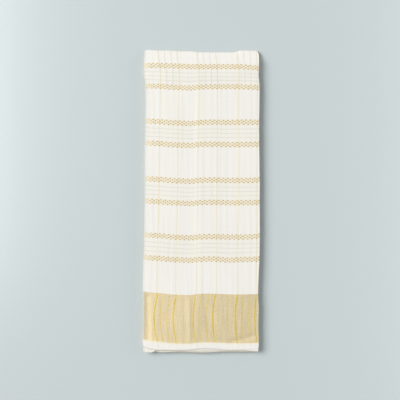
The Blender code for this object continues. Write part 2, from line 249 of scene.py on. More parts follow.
def readOff(rows, key, column, at):  # a smooth curve through a table's column
    keys = np.array([row[key] for row in rows])
    values = np.array([row[column] for row in rows])
    slopes = np.gradient(values, keys)
    slopes[1:-1] = (values[2:] - values[:-2]) / (keys[2:] - keys[:-2])
    at = np.clip(at, keys[0], keys[-1])
    left = np.clip(np.searchsorted(keys, at, side="right") - 1, 0, len(keys) - 2)
    span = keys[left + 1] - keys[left]
    t = (at - keys[left]) / span
    return (
        (2 * t**3 - 3 * t**2 + 1) * values[left]
        + (t**3 - 2 * t**2 + t) * span * slopes[left]
        + (3 * t**2 - 2 * t**3) * values[left + 1]
        + (t**3 - t**2) * span * slopes[left + 1]
    )


def stripMiddle(strip):
    return (pile["strips"] - strip) * pile["pitch"] + pile["lowest"]


def wander(along, seed, size):  # slow uneven drift of an edge
    waves = 0
    for share, length, phase in drift["waves"]:
        waves = waves + share * np.sin(along * 2 * math.pi / length + phase * seed)
    return size * waves


# ---- the way a strip runs through the pile: stations with a middle point and the A side's direction
def station(y, z, ny, nz, mix, strips, stray):
    # strips: the one it leaves and the one it reaches; stray: share of the warps' stray that it keeps
    first, last = strips
    return {"y": y, "z": z, "ny": ny, "nz": nz, "mix": mix, "first": first, "last": last, "stray": stray}


def facesUp(strip):
    return strip % 2 == 1  # the strip's A side, the side shown on top


def steps(start, end, step):
    return np.linspace(start, end, max(2, int(round(abs(end - start) / step)) + 1))


def straightRun(strip, fromY, toY, step):
    z = stripMiddle(strip)
    side = 1 if facesUp(strip) else -1
    return [station(y, z, 0, side, 0, (strip, strip), strip == 1) for y in steps(fromY, toY, step)]


def foldRun(first, last, fromY, toY, nose, step, turns):
    # nose: the y that the fold turns about, and how much further it reaches than a round one
    axis, stretch = nose
    towards = 1 if axis > 0 else -1
    upward = first > last  # from the lower strip to the upper one
    upper = min(first, last)
    outside = 1 if facesUp(upper) else -1
    middle = (stripMiddle(first) + stripMiddle(last)) / 2
    radius = abs(stripMiddle(first) - stripMiddle(last)) / 2
    start = -1 if upward else 1
    blend = lie["foldBlend"]
    strips = (first, last)
    onTop = first == 1
    run = []
    for y in steps(fromY, axis, step)[:-1]:
        near = float(smoothStep(axis - towards * blend, axis, y))
        run.append(station(y, middle + start * radius, 0, start * outside, near / 2, strips, onTop))
    for angle in np.linspace(start * math.pi / 2, -start * math.pi / 2, turns):
        y = axis + towards * radius * math.cos(angle) * stretch
        z = middle + radius * math.sin(angle)
        ny = towards * outside * math.cos(angle) * stretch
        run.append(station(y, z, ny, outside * math.sin(angle), 0.5, strips, onTop))
    for y in steps(axis, toY, step)[1:]:
        near = float(smoothStep(axis - towards * blend, axis, y))
        level = middle - start * radius
        run.append(station(y, level, 0, -start * outside, 1 - near / 2, strips, onTop * near))
    return run


def distances(run):  # along the cloth, at the strip's middle
    places = np.array([[s["y"], s["z"]] for s in run])
    return np.concatenate([[0], np.cumsum(np.linalg.norm(np.diff(places, axis=0), axis=1))])


# ---- the strip cut across: x from the middle, n towards its A side, u on the cloth
def arc(x, n, radius, fromAngle, toAngle, count):
    angles = np.radians(np.linspace(fromAngle, toAngle, count))
    return [(x + radius * math.cos(a), n + radius * math.sin(a)) for a in angles]


def measured(points, anchor):  # adds the distance round the section, zero at x = 0 on the A side
    places = np.array(points)
    run = np.concatenate([[0], np.cumsum(np.linalg.norm(np.diff(places, axis=0), axis=1))])
    shown = [i for i in anchor if places[i, 0] <= 0]
    nearest = max(shown, key=lambda i: places[i, 0])
    along = run - run[nearest] + places[nearest, 0] * np.sign(places[anchor[-1], 0] - places[anchor[0], 0])
    return places[:, 0], places[:, 1], along


layerPitch = (pile["thick"] - pile["layer"]) / 5


def stripSection(shown, hidden):
    # one closed loop: a four-layer and a two-layer fold at the right, one six-layer fold at the left
    half, thick, layer = pile["halfWidth"], pile["thick"], pile["layer"]
    four = (3 * layerPitch + layer) / 2
    two = (layerPitch + layer) / 2
    roundTwo, roundFour, roundSix = pile["turnPoints"]
    groove = (half - pile["groove"], four - two)
    loop = [groove]
    loop += arc(half - four, -thick / 2 + four, four, 90, -90, roundFour)
    loop += [(x, -thick / 2) for x in np.linspace(half - four, -half + thick / 2, hidden + 2)[1:-1]]
    loop += arc(-half + thick / 2, 0, thick / 2, -90, -270, roundSix)
    face = len(loop)
    columns = np.linspace(-half + thick / 2, half - two, shown)[1:-1]
    columns = np.sort(np.append(columns, flaps[0]["x"]))  # a crisp step beside the flap
    loop += [(x, thick / 2) for x in columns]
    loop += arc(half - two, thick / 2 - two, two, 90, -90, roundTwo)
    loop += [groove]
    return measured(loop, range(face, face + shown))


def layerPath(columns):
    # the one cloth that makes a strip's six layers, from one selvedge to the other
    half, thick, layer = pile["halfWidth"], pile["thick"], pile["layer"]

    def levelOf(number):
        return -thick / 2 + layer / 2 + (number - 1) * layerPitch

    def across(number, fromX, toX):
        return [(x, levelOf(number)) for x in np.linspace(fromX, toX, columns)]

    def turnAt(lower, upper, side, rising, outermost):
        radius = (upper - lower) / 2 * layerPitch
        middle = (levelOf(lower) + levelOf(upper)) / 2
        x = side * (half - layer / 2 - outermost * layerPitch)
        fromAngle = -90 if rising else 90
        points = arc(0, middle, radius, fromAngle, -fromAngle, 4 + 3 * (upper - lower))
        return [(x + side * px, pn) for px, pn in points]

    rightFour = half - layer / 2 - 1.5 * layerPitch
    rightTwo = half - layer / 2 - 0.5 * layerPitch
    left = -half + layer / 2 + 2.5 * layerPitch
    path = across(3, left + pile["selvedges"][0], rightFour)[:-1]
    path += turnAt(2, 3, 1, False, 1.5)
    path += across(2, rightFour, left)[1:-1]
    path += turnAt(2, 5, -1, True, 2.5)
    path += across(5, left, rightTwo)[1:-1]
    path += turnAt(5, 6, 1, True, 0.5)
    face = len(path)
    path += across(6, rightTwo, left)[1:-1]
    path += turnAt(1, 6, -1, False, 2.5)
    path += across(1, left, rightFour)[1:-1]
    path += turnAt(1, 4, 1, True, 1.5)
    path += across(4, rightFour, left + pile["selvedges"][1])[1:]
    x, n, u = measured(path, range(face, face + columns - 2))
    return x, n, -u


# ---- from the straight pile to the real one
def reliefAt(x, y):
    share = x / pile["halfWidth"]
    height = lie["crown"] * (1 - share * share)
    for crease in creases:
        start, end = Vector(crease["from"]), Vector(crease["to"])
        way = (end - start).normalized()
        along = (x - start.x) * way.x + (y - start.y) * way.y
        across = (x - start.x) * way.y - (y - start.y) * way.x
        ends = smoothStep(0, crease["fade"], along)
        ends = ends * smoothStep(0, crease["fade"], (end - start).length - along)
        height = height + crease["height"] * ends * np.exp(-((across / crease["half"]) ** 2))
    height = height + ripples(x, y)
    return height * (1 - smoothStep(*setsIn["reliefEnds"], y))


ripple = {
    "height": 0.00007,
    "widths": (0.0127, 0.0083),
    "lengths": (0.19, 0.11),
    "wind": 0.9,  # how far they wind from side to side, in radians
    "phases": (2.3, 1.1),  # of the winding and of the ripples, from one width to the next
    "steady": 0.6,  # the share of their height that doesn't come and go
    "comeAndGo": (1.7, 41),  # over this many lengths, and radians a metre across
}


def ripples(x, y):  # the cloth lies in faint long ripples
    height = 0
    steady = ripple["steady"]
    lengths, turn = ripple["comeAndGo"]
    windPhase, phase = ripple["phases"]
    for number, (width, length) in enumerate(zip(ripple["widths"], ripple["lengths"])):
        bend = ripple["wind"] * np.sin(2 * math.pi * y / length + windPhase * number)
        strength = steady + (1 - steady) * np.sin(2 * math.pi * y / (lengths * length) + x * turn)
        height = height + strength * np.sin(2 * math.pi * x / width + bend + phase * number)
    return ripple["height"] * height


def pressed(x):
    kept = np.ones_like(x)
    for sign, (width, share) in ((-1, lie["rollLeft"]), (1, lie["rollRight"])):
        past = np.clip((sign * x - pile["halfWidth"] + width) / width, 0, None)
        kept = kept - share * past**2
    return kept


def tugged(x, y, places, way):
    shift = 0
    for tug in places:
        (atX, atY), (reachX, reachY) = tug["at"], tug["reach"]
        shift = shift + tug[way] * np.exp(-(((x - atX) / reachX) ** 2) - ((y - atY) / reachY) ** 2)
    return shift


def settle(run, along, section):
    # places of the section's points at each station, as (station, point) grids, and the cloth's u there
    secX, secN, secU = section

    def column(key):
        return np.array([s[key] for s in run], float)[:, None]

    y = column("y") + secN[None] * column("ny")
    z = column("z") + secN[None] * column("nz")
    straightX = np.broadcast_to(secX[None], y.shape)
    nearSide = np.clip(np.abs(straightX) / pile["halfWidth"] - 1 + lie["slackShare"], 0, None)
    nearSide = nearSide / lie["slackShare"]

    reach = np.where(straightX < 0, readOff(sides, "y", "left", y), readOff(sides, "y", "right", y))
    x = straightX * reach / pile["halfWidth"]

    head = smoothStep(*setsIn["headFold"], y)
    rows = {row["strip"]: row for row in insets}
    onTop = column("stray")  # 1 on the top strip, fading out past the head fold
    follows = lie["follow"] + (1 - lie["follow"]) * onTop
    calm = 1 - lie["calmHead"] * smoothStep(*setsIn["calmHead"], y)
    y = y + follows * (1 - head) * calm * readOff(wefts, "x", "weft", x)
    y = y + onTop * tugged(x, y, tugs, "up")
    inBorder = smoothStep(*setsIn["border"], y) * onTop
    y = y + inBorder * readOff(leans, "x", "weft", x)
    flap = sum(flap["reach"] * smoothStep(*flap["x"], x) for flap in flaps)
    y = y + head * (readOff(wefts, "x", "head", x) + flap)
    low = smoothStep(*setsIn["footFolds"], y) * (1 - onTop)
    phase = lie["footWavePhase"] * column("first")
    footWave = lie["footWave"] * np.sin(x * lie["footWaveTurn"] + phase)
    y = y - low * (readOff(wefts, "x", "foot", x) + footWave)

    mix = column("mix")
    inset = 0
    for end, share in (("first", 1 - mix), ("last", mix)):
        left = np.array([rows[s[end]]["left"] for s in run])[:, None]
        right = np.array([rows[s[end]]["right"] for s in run])[:, None]
        strips = column(end)
        phase = lie["wavePhase"] * strips
        wave = lie["wave"] * np.sin(2 * math.pi * y / lie["waveLength"] + phase) * (strips > 1)
        inset = inset + share * (np.where(straightX < 0, left, right) + wave)
    onTwo = smoothStep(-drift["blend"], drift["blend"], secN / pile["thick"])[None]
    twoEdge = wander(along, 2, drift["rightTwo"])
    fourEdge = wander(along, 3, drift["rightFour"])
    edge = np.where(straightX < 0, wander(along, 1, drift["left"]), 0)
    edge = np.where(straightX > 0, onTwo * twoEdge + (1 - onTwo) * fourEdge, edge)
    x = x - np.sign(straightX) * nearSide * (inset + np.abs(edge))

    isTop = np.array([s["first"] == 1 and s["nz"] == 1 and s["ny"] == 0 for s in run])[:, None]
    lift = (secN[None] + pile["thick"] / 2) / pile["thick"]
    z = z + isTop * lift * reliefAt(x, y)
    z = z * pressed(x) * (1 - lie["headPress"] * smoothStep(*setsIn["headPress"], y))

    stray = readOff(warps, "y", "stray", y) * readOff(wefts, "x", "share", x) + readOff(wefts, "x", "warp", x)
    stray = stray + smoothStep(*setsIn["headLean"], y) * readOff(leans, "x", "head", x)
    inFoot = smoothStep(*setsIn["footLean"], y) * smoothStep(*setsIn["footLeanEnds"], y)
    stray = stray + inFoot * readOff(leans, "x", "foot", x)
    stray = stray + inBorder * smoothStep(*setsIn["borderLean"], y) * readOff(leans, "x", "border", x)
    stray = stray + tugged(x, y, slips, "right")
    u = np.broadcast_to(secU[None], y.shape) + (x - straightX) - stray * onTop
    return x, y, z, u


# ---- making a stretch of strip
def deselect():
    if bpy.context.object and bpy.context.object.mode != "OBJECT":
        bpy.ops.object.mode_set(mode="OBJECT")
    bpy.ops.object.select_all(action="DESELECT")


def layGrid(name, places, cloth, side):
    # a grid primitive whose rows are the stations and whose columns are the section's points
    x, y, z = places
    rows, columns = x.shape
    deselect()
    bpy.ops.mesh.primitive_grid_add(x_subdivisions=columns - 1, y_subdivisions=rows - 1, size=2)
    piece = bpy.context.object
    piece.name = name
    mesh = piece.data
    mesh.name = name
    flat = np.zeros(len(mesh.vertices) * 3)
    mesh.vertices.foreach_get("co", flat)
    flat = flat.reshape(-1, 3)
    i = np.round((flat[:, 0] + 1) / 2 * (columns - 1)).astype(int)
    j = np.round((flat[:, 1] + 1) / 2 * (rows - 1)).astype(int)
    laid = np.stack([x[j, i], y[j, i], z[j, i]], axis=1)
    mesh.vertices.foreach_set("co", laid.ravel())

    corners = np.zeros(len(mesh.loops), int)
    mesh.loops.foreach_get("vertex_index", corners)
    u, v = cloth
    places = np.stack([u[j, i], v[j, i]], axis=1)[corners]
    mesh.uv_layers[0].name = "weave"
    mesh.uv_layers[0].data.foreach_set("uv", places.ravel())
    across = np.stack([side[i], j / rows], axis=1)[corners]
    mesh.uv_layers.new(name="form")  # -1 at the left fold, 1 at the right one
    mesh.uv_layers["form"].data.foreach_set("uv", across.ravel())
    mesh.update()
    return piece


def closeUp(piece):  # joins the loop's two ends and caps the stretch
    bpy.ops.object.mode_set(mode="EDIT")
    bpy.ops.mesh.select_all(action="SELECT")
    bpy.ops.mesh.remove_doubles(threshold=0.000002)
    bpy.ops.mesh.select_all(action="SELECT")
    bpy.ops.mesh.fill_holes(sides=0)
    bpy.ops.mesh.select_all(action="DESELECT")
    bpy.ops.mesh.select_face_by_sides(number=4, type="GREATER")
    bpy.ops.mesh.quads_convert_to_tris(quad_method="BEAUTY", ngon_method="BEAUTY")
    bpy.ops.mesh.select_all(action="SELECT")
    bpy.ops.mesh.normals_make_consistent(inside=False)
    bpy.ops.object.mode_set(mode="OBJECT")
    return piece


def smoothOff(piece, material):
    bpy.ops.object.shade_smooth_by_angle(angle=math.radians(50))
    piece.data.materials.clear()
    piece.data.materials.append(material)
    return piece


def layStrip(name, run, clothStart, section, material):
    along = clothStart + distances(run)[:, None]
    x, y, z, u = settle(run, along, section)
    onTop = np.array([s["first"] == 1 and s["nz"] >= 0 for s in run])[:, None]
    v = along + np.where(onTop, readOff(warps, "y", "taken", y), warps[-1]["taken"] - lie["slipped"])
    piece = layGrid(name, (x, y, z), (u, v), section[0] / pile["halfWidth"])
    closeUp(piece)
    return smoothOff(piece, material)


def layCutEnd(name, run, clothStart, reach, columns, material):
    # six separate layers, whose cut edges don't quite line up
    section = layerPath(columns)
    along = clothStart + distances(run)[:, None]
    x, y, z, u = settle(run, along, section)
    share = np.linspace(0, 1, len(run))[:, None]
    if run[-1]["y"] > run[0]["y"]:
        share = share[::-1]
    y = y - share**2 * reach(x, section)
    v = np.broadcast_to(along, x.shape)
    piece = layGrid(name, (x, y, z), (u, v), section[0] / pile["halfWidth"])
    wall = piece.modifiers.new("wall", "SOLIDIFY")
    wall.thickness = pile["layer"]
    wall.offset = 0
    bpy.ops.object.modifier_apply(modifier=wall.name)
    bpy.ops.object.mode_set(mode="EDIT")
    bpy.ops.mesh.select_all(action="SELECT")
    bpy.ops.mesh.normals_make_consistent(inside=False)
    bpy.ops.object.mode_set(mode="OBJECT")
    return smoothOff(piece, material)


# ---- materials
def tint(red, green, blue):  # a colour given in screen values, 0 to 255
    def linear(value):
        value = value / 255
        return value / 12.92 if value < 0.04045 else ((value + 0.055) / 1.055) ** 2.4

    return (linear(red), linear(green), linear(blue), 1)


class Weave:
    # short ways to add and join a material's nodes
    def __init__(self, name, look):
        self.look = look
        self.material = bpy.data.materials.new(name)
        self.material.use_nodes = True
        self.nodes = self.material.node_tree.nodes
        self.links = self.material.node_tree.links
        self.shader = self.nodes["Principled BSDF"]
        self.cloth, self.u, self.v = self.onMap("weave")
        self.side = self.onMap("form")[1]
        self.grains = {kind: self.noise(*settings) for kind, settings in look["grains"].items()}

    def onMap(self, name):
        node = self.nodes.new("ShaderNodeUVMap")
        node.uv_map = name
        apart = self.nodes.new("ShaderNodeSeparateXYZ")
        self.links.new(node.outputs["UV"], apart.inputs[0])
        return node.outputs["UV"], apart.outputs["X"], apart.outputs["Y"]

    def put(self, socket, value):
        if isinstance(value, bpy.types.NodeSocket):
            self.links.new(value, socket)
        else:
            socket.default_value = value

    def calc(self, operation, *values):
        node = self.nodes.new("ShaderNodeMath")
        node.operation = operation
        for socket, value in zip(node.inputs, values):
            self.put(socket, value)
        return node.outputs[0]

    def total(self, values):
        result = values[0]
        for value in values[1:]:
            result = self.calc("ADD", result, value)
        return result

    def blend(self, share, first, second, kind="MIX"):
        node = self.nodes.new("ShaderNodeMix")
        node.data_type = "RGBA"
        node.blend_type = kind
        self.put(node.inputs["Factor"], share)
        self.put(node.inputs["A"], first)
        self.put(node.inputs["B"], second)
        return node.outputs["Result"]

    def ramp(self, value, low, high, bottom=0.0, top=1.0):
        node = self.nodes.new("ShaderNodeMapRange")
        node.interpolation_type = "SMOOTHSTEP"
        names = ("Value", "From Min", "From Max", "To Min", "To Max")
        for name, setting in zip(names, (value, low, high, bottom, top)):
            self.put(node.inputs[name], setting)
        return node.outputs["Result"]

    def within(self, value, middle, width, soft):  # 1 on a stripe, 0 off it
        away = self.calc("ABSOLUTE", self.calc("SUBTRACT", value, middle))
        return self.ramp(away, width / 2 - soft / 2, width / 2 + soft / 2, 1.0, 0.0)

    def every(self, value, start, period):  # distance past the last start of a repeat
        return self.calc("FLOORED_MODULO", self.calc("SUBTRACT", value, start), period)

    def scaled(self, size):  # the cloth's coordinates, scaled apart across and along
        node = self.nodes.new("ShaderNodeMapping")
        self.links.new(self.cloth, node.inputs["Vector"])
        node.inputs["Scale"].default_value = (*size, 1)
        return node.outputs["Vector"]

    def noise(self, size, detail):
        node = self.nodes.new("ShaderNodeTexNoise")
        self.put(node.inputs["Vector"], self.scaled(size))
        node.inputs["Scale"].default_value = 1
        node.inputs["Detail"].default_value = detail
        return node.outputs["Fac"]

    def shaded(self, colour, shades):  # a colour times the sum of the shades
        shade = self.total(shades)
        tone = self.nodes.new("ShaderNodeCombineColor")
        for socket in tone.inputs:
            self.put(socket, shade)
        return self.blend(1.0, colour, tone.outputs[0], "MULTIPLY")

    def shade(self, value, kind):
        return self.ramp(value, *self.look["ramps"][kind])

    def cover(self, colour, kind, mask):  # lays one of the look's colours over it
        share = self.calc("MULTIPLY", mask, self.look["shares"].get(kind, 1.0))
        return self.blend(share, colour, self.look[kind])

    def bump(self, height, kind, under=None):
        strength, distance = self.look[kind]
        node = self.nodes.new("ShaderNodeBump")
        node.inputs["Strength"].default_value = strength
        node.inputs["Distance"].default_value = distance
        self.put(node.inputs["Height"], height)
        if under is not None:
            self.links.new(under, node.inputs["Normal"])
        return node.outputs["Normal"]

    def surface(self, settings):  # what the shader is given makes the finished material
        for name, value in settings.items():
            self.put(self.shader.inputs[name], value)
        return self.material


warpLines = {  # in groups of four: strong, thin, thin, strong
    "start": -0.0715,
    "period": 0.0675,
    "lead": 0.01,  # the repeat begins this far before a group
    "strong": (0.0, 0.0316),
    "thin": (0.0105, 0.0211),
    "strongWidth": 0.0018,
    "thinWidth": 0.0012,
    "soft": 0.0011,
}
bands = {
    "start": 0.15365,  # first zigzag band, from the cut end
    "from": (0.100, 0.101),  # nothing of this pattern nearer the cut end
    "period": 0.0972,
    "lead": 0.03,
    "partner": 0.0374,  # the second of each pair
    "betweenSoft": 0.006,
    "thinWefts": (0.0115, 0.0188, 0.0260),
    "thinWidth": 0.0010,
    "thinSoft": 0.0006,
    "zigzag": 0.00755,  # length of one zigzag
    "zigzagPeak": -0.0373,
    "rows": 4,  # of gold floats, each row half a zigzag on from the last
    "row": 0.0023,
    "rowSoft": 0.0004,
    "lit": (0.05, 0.45),  # where the floats begin and are in full, of the waves' product
    "fill": 0.0088,  # pale gold between and round the floats
    "fillSoft": 0.0018,
}
cottonLook = {
    "base": tint(242, 239, 233),
    "folded": tint(230, 223, 207),  # painted shade: darker and creamier, for the folds under the top strip
    "strong": tint(235, 225, 192),
    "thin": tint(236, 231, 211),
    "headLine": tint(219, 213, 194),
    "thinWeft": tint(222, 218, 205),
    "ghost": tint(228, 229, 222),  # lines that shine through from the layer below
    "plain": tint(228, 229, 222),
    "zigzag": tint(188, 170, 134),
    "fill": tint(244, 231, 198),
    "between": tint(240, 236, 226),
    "knot": tint(214, 180, 96),  # where the strong lines cross the bands
    # painted shade: a darker line along each layer's cut edge
    "rawEdge": tint(206, 197, 174),
    "faded": tint(243, 234, 204),  # gold wefts thinning out below the border
    "shares": {  # how strongly each colour covers the cloth
        "ghost": 0.35,
        "between": 0.5,
        "thinWeft": 0.9,
        "plain": 0.5,
        "fill": 0.75,
        "knot": 0.3,
    },
    "lineShare": 0.65,
    "headShares": (0.35, 0.55),  # of the strong and the thin lines
    "pastBorder": (0.011, 0.014),  # along the cloth: the lines are gold from here on
    "nearHead": (0.440, 0.452),  # and darker and greyer from here
    "grains": {  # noises: how fine they are across and along, per metre, and their detail
        "slubAlong": ((900, 14), 3),
        "slubAcross": ((14, 1000), 3),
        "cloud": ((22, 9), 2),
        "patchy": ((110, 300), 2),
    },
    "ramps": {  # from and to, and the shade or share at each
        "shine": (0.35, 0.65, 0.6, 0.9),  # the floats shine by fits and starts
        "paintedShine": (-0.97, -0.84, 0.35, 1.0),  # painted sheen: fewer floats near the left fold
        "cutEdge": (0.0003, 0.0011, 0.38, 0.0),
        "fadedIn": (0.0070, 0.0112, 0.0, 0.7),
        "fadedOut": (0.02, 0.03, 1.0, 0.0),
        "slubAlong": (0.35, 0.65, -0.010, 0.010),
        "slubAcross": (0.35, 0.65, -0.008, 0.008),
        "cloud": (0.3, 0.7, 0.985, 1.0),
        "leftFoldShade": (-1.0, -0.96, -0.18, 0.0),  # painted shade along the left fold
        "rightFoldHighlight": (0.955, 0.985, 0.0, 0.11),  # painted highlight along the right fold
    },
    "rough": 0.86,
    "zariRough": 0.42,
    "metal": 0.25,
    "specular": 0.25,
    "sheen": 0.12,
    "sheenRough": 0.5,
    "threads": 2600.0,  # per metre, for the bump
    "weaveBump": (0.12, 0.0001),  # strength and distance
    "slubBump": (0.20, 0.0001),
    "lineBump": (0.5, 0.00012),
    "lineHeight": 0.4,  # of the strong lines beside the floats' 1
}
zariLook = {
    "base": tint(227, 210, 170),
    "group": tint(225, 208, 172),
    "strong": tint(221, 192, 92),
    "halo": tint(238, 219, 158),
    "thin": tint(227, 203, 124),
    "rightRimHighlight": tint(246, 236, 206),  # painted highlight, paler along the right fold
    "leftRimShade": tint(224, 214, 192),  # painted shade, greyer along the left one
    "groupWidth": (0.034, 0.004),  # these are widths, and how soft their edges are
    "haloWidth": (0.0048, 0.0022),
    "strongWidth": (0.0024, 0.0010),
    "thinWidth": (0.0020, 0.0010),
    "shares": {"group": 0.8, "halo": 0.6},
    "grains": {
        "streaks": ((420, 30), 3),
        "wefts": ((26, 900), 3),
        "speckle": ((420, 360), 2),
        "cloud": ((60, 35), 3),
        "patchy": ((90, 160), 2),
    },
    "ramps": {
        "paintedShine": (0.35, 0.65, 0.65, 1.0),  # painted shine: the lines are lighter by fits and starts
        "rightRimHighlight": (0.955, 0.99, 0.0, 0.6),
        "leftRimShade": (-0.995, -0.94, 0.6, 0.0),
        "streaks": (0.3, 0.7, -0.04, 0.04),
        "wefts": (0.3, 0.7, -0.015, 0.015),
        "speckle": (0.3, 0.7, -0.052, 0.052),
        "smoother": (-0.95, -0.80, 0.4, 1.0),  # less speckle at the left fold
        "across": (-0.09, 0.09, 0.02, -0.04),  # a little darker towards the right
        "cloud": (0.3, 0.7, 0.97, 1.02),
        "leftFoldShade": (-1.0, -0.885, -0.20, 0.0),  # tarnished
        # painted highlight, lighter along the border's foot edge
        "foot": (0.012, 0.018, 0.04, 0.0),
    },
    "paintedSheenStripe": (-0.88, 0.07, 0.05),  # painted shade along the left fold
    "paintedSheenAmount": 0.05,
    "metal": 0.35,
    "rough": 0.55,
    "specular": 0.4,
    "brushed": 0.3,
    "threads": 2300.0,
    "weaveBump": (0.15, 0.0001),
    "ribBump": (0.35, 0.0001),
}


def stripes(w, place, kind, width, soft):  # a mask of one kind of warp line
    return w.total([w.within(place, at + warpLines["lead"], width, soft) for at in warpLines[kind]])


def warpStripes(w, u):  # masks of the strong and the thin warp lines
    place = w.every(u, warpLines["start"] - warpLines["lead"], warpLines["period"])
    soft = warpLines["soft"]
    return [stripes(w, place, kind, warpLines[kind + "Width"], soft) for kind in ("strong", "thin")]


def weaveHeight(w):  # plain weave: over and under by turns
    threads = w.look["threads"]
    across = w.calc("SINE", w.calc("MULTIPLY", w.u, threads * math.pi))
    along = w.calc("SINE", w.calc("MULTIPLY", w.v, threads * math.pi))
    return w.calc("MULTIPLY", across, along)


def zigzagMasks(w):  # the gold floats, the pale gold between them, and the thin lines of weft
    lead, partner = bands["lead"], bands["partner"]
    fromBand = w.every(w.v, bands["start"] - lead, bands["period"])
    turns = w.calc("SUBTRACT", w.u, bands["zigzagPeak"])
    wave = w.calc("COSINE", w.calc("MULTIPLY", turns, 2 * math.pi / bands["zigzag"]))
    floats, fills = [], []
    for middle in (lead, lead + partner):
        fromMiddle = w.calc("SUBTRACT", fromBand, middle)
        rows = w.calc("SINE", w.calc("MULTIPLY", fromMiddle, -math.pi / bands["row"]))
        shown = w.within(fromBand, middle, bands["rows"] * bands["row"], bands["rowSoft"])
        lit = w.ramp(w.calc("MULTIPLY", rows, wave), *bands["lit"])
        floats.append(w.calc("MULTIPLY", lit, shown))
        fills.append(w.within(fromBand, middle, bands["fill"], bands["fillSoft"]))
    width, soft = bands["thinWidth"], bands["thinSoft"]
    thinWefts = [w.within(fromBand, lead + at, width, soft) for at in bands["thinWefts"]]
    between = [w.within(fromBand, lead + partner / 2, partner, bands["betweenSoft"])]
    inField = w.ramp(w.v, *bands["from"])
    return [w.calc("MULTIPLY", w.total(found), inField) for found in (floats, fills, thinWefts, between)]


def cottonCloth(name, base):
    w = Weave(name, cottonLook)
    grains = w.grains
    strong, thin = warpStripes(w, w.u)
    floats, fills, thinWefts, between = zigzagMasks(w)
    under = w.calc("SUBTRACT", 2 * pile["halfWidth"], w.u)  # the layer below lies the other way round
    underStrong, underThin = warpStripes(w, under)

    colour = w.cover(base, "ghost", w.calc("MAXIMUM", underStrong, underThin))
    colour = w.cover(colour, "between", between)
    colour = w.cover(colour, "thinWeft", thinWefts)
    golden = w.ramp(w.v, *cottonLook["pastBorder"])  # below the border the lines are plain cotton
    plain = w.calc("MULTIPLY", w.calc("SUBTRACT", 1.0, golden), w.calc("ADD", strong, thin))
    colour = w.cover(colour, "plain", plain)
    lineShare = w.calc("MULTIPLY", golden, cottonLook["lineShare"])
    colour = w.cover(colour, "thin", w.calc("MULTIPLY", thin, lineShare))
    colour = w.cover(colour, "strong", w.calc("MULTIPLY", strong, lineShare))
    ofStrong, ofThin = cottonLook["headShares"]
    grey = w.calc("ADD", w.calc("MULTIPLY", thin, ofThin), w.calc("MULTIPLY", strong, ofStrong))
    nearHead = w.ramp(w.v, *cottonLook["nearHead"])
    colour = w.cover(colour, "headLine", w.calc("MULTIPLY", grey, nearHead))
    colour = w.cover(colour, "fill", fills)
    # painted shine: the floats pale in patches and near the left fold
    paintedShine = w.calc("MULTIPLY", w.shade(grains["patchy"], "shine"), w.shade(w.side, "paintedShine"))
    colour = w.cover(colour, "zigzag", w.calc("MULTIPLY", floats, paintedShine))
    colour = w.cover(colour, "knot", w.calc("MULTIPLY", fills, strong))
    # painted shade: a darker line along each layer's cut edge
    colour = w.cover(colour, "rawEdge", w.shade(w.calc("ABSOLUTE", w.v), "cutEdge"))
    faded = w.calc("MULTIPLY", w.shade(w.v, "fadedIn"), w.shade(w.v, "fadedOut"))
    colour = w.cover(colour, "faded", faded)
    colour = w.shaded(colour, [
        w.shade(grains["slubAlong"], "slubAlong"),
        w.shade(grains["slubAcross"], "slubAcross"),
        w.shade(grains["cloud"], "cloud"),
        # painted shade along the left fold
        w.shade(w.side, "leftFoldShade"),
        # painted highlight along the right fold
        w.shade(w.side, "rightFoldHighlight"),
    ])

    fine = w.bump(weaveHeight(w), "weaveBump")
    slub = w.calc("ADD", grains["slubAlong"], grains["slubAcross"])
    uneven = w.bump(slub, "slubBump", fine)
    lines = w.calc("ADD", floats, w.calc("MULTIPLY", strong, cottonLook["lineHeight"]))
    return w.surface({
        "Base Color": colour,
        "Metallic": w.calc("MULTIPLY", floats, cottonLook["metal"]),
        "Roughness": w.ramp(floats, 0.0, 1.0, cottonLook["rough"], cottonLook["zariRough"]),
        "Specular IOR Level": cottonLook["specular"],
        "Sheen Weight": cottonLook["sheen"],
        "Sheen Roughness": cottonLook["sheenRough"],
        "Normal": w.bump(lines, "lineBump", uneven),
    })


